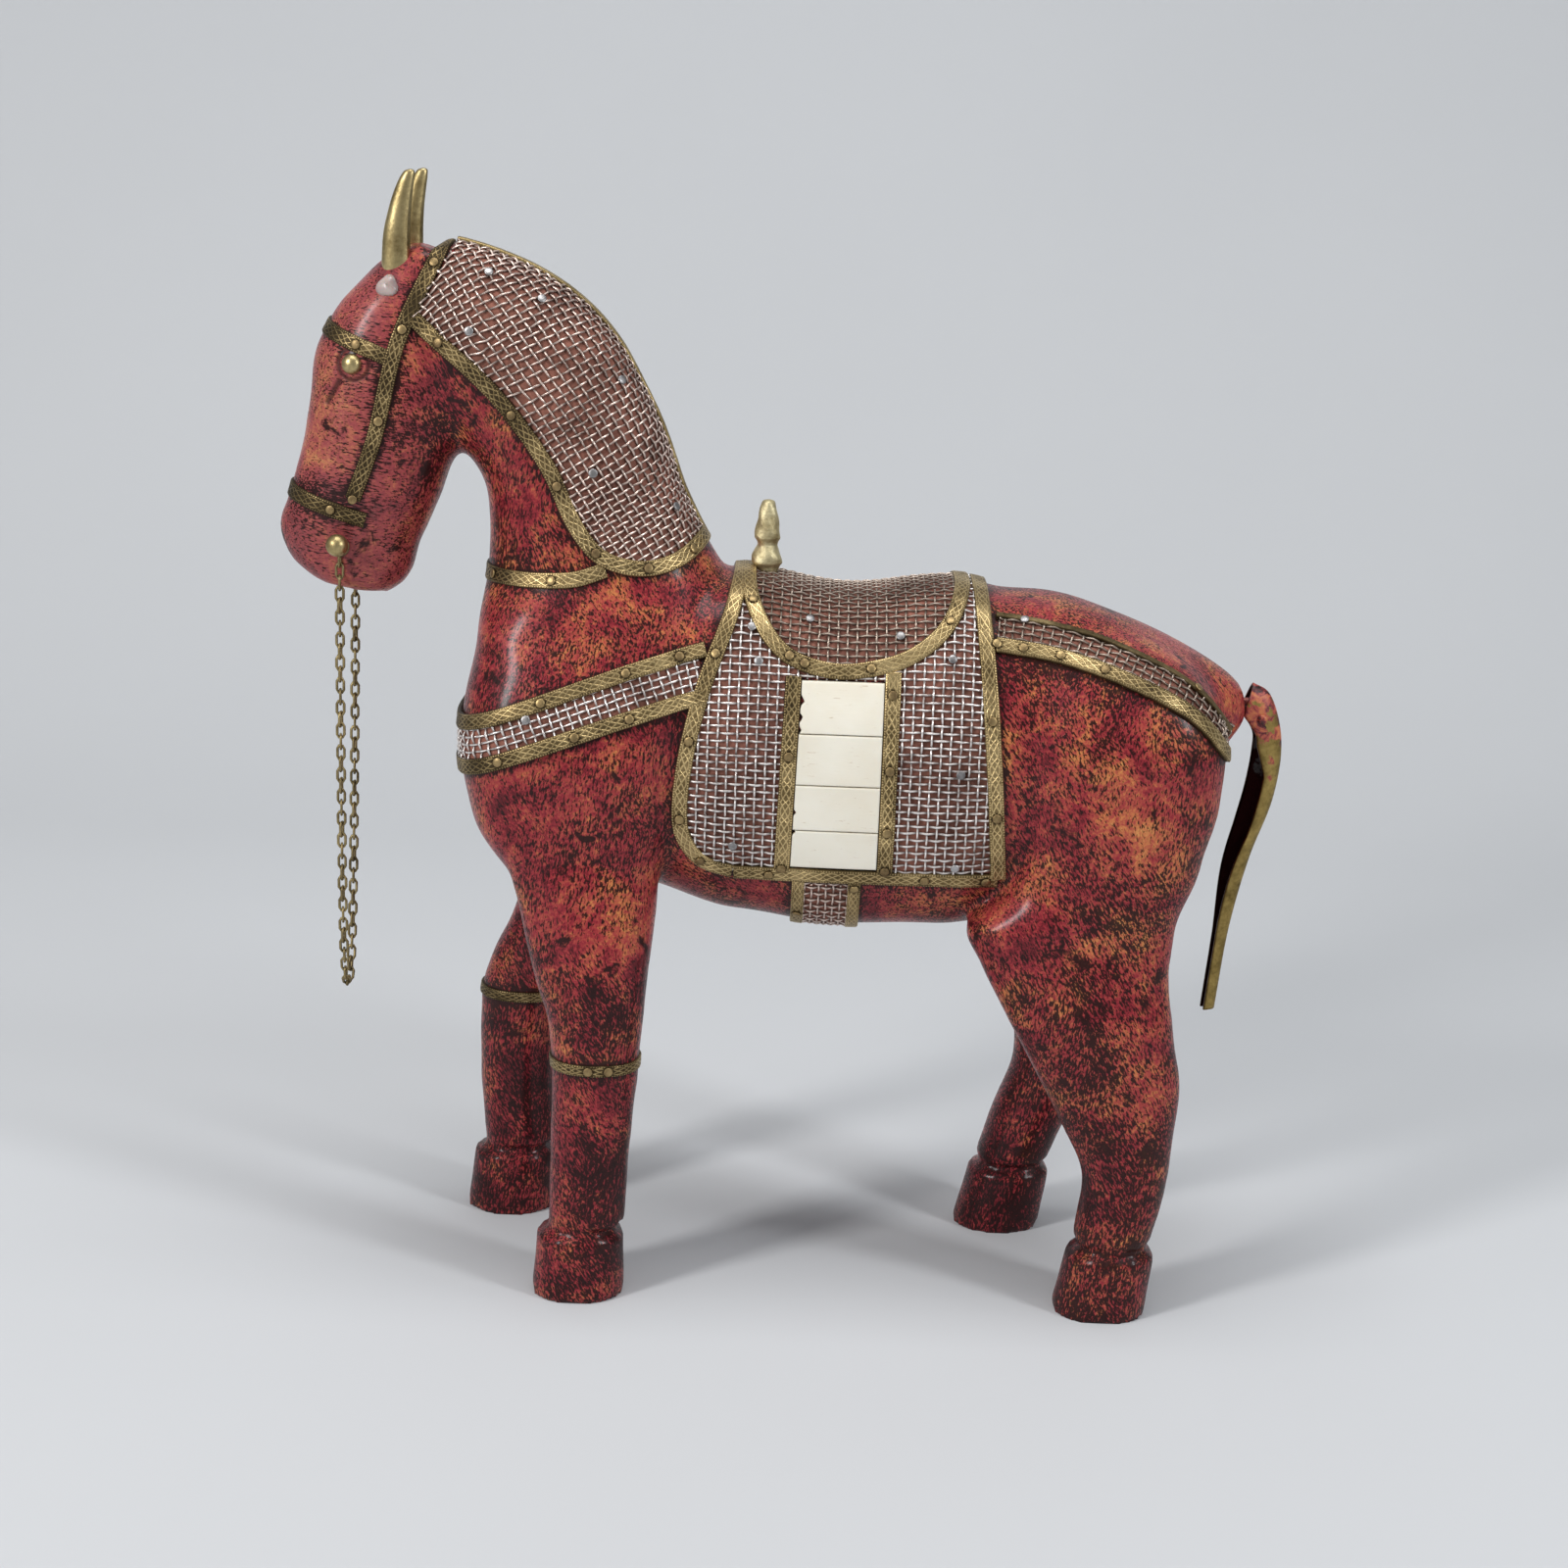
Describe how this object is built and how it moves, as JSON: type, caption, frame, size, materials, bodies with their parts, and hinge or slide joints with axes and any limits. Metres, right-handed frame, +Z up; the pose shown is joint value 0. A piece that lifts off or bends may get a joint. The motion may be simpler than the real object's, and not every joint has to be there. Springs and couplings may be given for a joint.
{
  "type": "carved wooden show horse",
  "caption": "Standing carved wooden horse ornament with brass-bound wire-cloth harness, bone-tiled saddle, brass ears and tail, and a chain rein that swings from the bit.",
  "frame": {"origin": "on the ground, under the middle of the horse's outline seen from above", "axes": "+Z up; the horse faces -X, its left side is towards -Y"},
  "size_m": [0.3125, 0.096, 0.342],
  "materials": {
    "lacquered_wood": "red and maroon lacquer over carved wood, worn and hatched with rasp marks",
    "bare_wood": "plain turned hardwood",
    "wire_cloth": "woven wire over a pink-brown backing",
    "brass_strip": "stamped sheet brass, tarnished",
    "bone": "sawn bone, satin, ivory white",
    "cast_brass": "cast brass, tarnished in the hollows",
    "clear_glue": "milky hardened glue",
    "chain_brass": "dark aged brass wire"
  },
  "bodies": {
    "horse": {"trunk": "lacquered_wood", "neck_and_head": "lacquered_wood", "fore_leg_left": "lacquered_wood", "fore_leg_right": "lacquered_wood", "hind_leg_left": "lacquered_wood", "hind_leg_right": "lacquered_wood", "leg_dowels": "bare_wood", "neck_dowels": "bare_wood", "cheek_strap": "brass_strip", "brow_band": "brass_strip", "nose_band": "brass_strip", "neck_collar": "brass_strip", "mane_edge": "brass_strip", "crest_strip": "brass_strip", "chest_strap_upper_strip": "brass_strip", "chest_strap_lower_strip": "brass_strip", "seat_edge": "brass_strip", "saddle_front_strip": "brass_strip", "saddle_rear_strip": "brass_strip", "saddle_bottom_strips": "brass_strip", "tile_side_strips": "brass_strip", "girth_front_strip": "brass_strip", "girth_rear_strip": "brass_strip", "crupper_lower_strips": "brass_strip", "crupper_upper_strips": "brass_strip", "leg_band_left": "brass_strip", "leg_band_right": "brass_strip", "mane_mesh": "wire_cloth", "chest_strap_mesh": "wire_cloth", "saddle_blanket_mesh": "wire_cloth", "saddle_seat_mesh": "wire_cloth", "girth_mesh": "wire_cloth", "crupper_mesh": "wire_cloth", "bone_tiles_left": "bone", "bone_tiles_right": "bone", "ear_left": "cast_brass", "ear_right": "cast_brass", "eye_stud_left": "cast_brass", "eye_stud_right": "cast_brass", "bit_boss_left": "cast_brass", "bit_boss_right": "cast_brass", "finial": "cast_brass", "tail": "cast_brass", "glue_drop": "clear_glue"},
    "rein_upper": {"bit_ring_left": "chain_brass", "bit_ring_right": "chain_brass", "rein_chain_left": "chain_brass", "rein_chain_right": "chain_brass"},
    "rein_lower": {"rein_chain_loop": "chain_brass"}
  },
  "joints": [
    {"name": "rein_swing", "type": "hinge", "parent": "horse", "child": "rein_upper", "pos_m": [-0.137, 0, 0.231], "axis": [0, 1, 0], "range_deg": [-15, 60]},
    {"name": "rein_bend", "type": "hinge", "parent": "rein_upper", "child": "rein_lower", "pos_m": [-0.137, 0, 0.15722], "axis": [0, 1, 0], "range_deg": [-10, 40]}
  ]
}
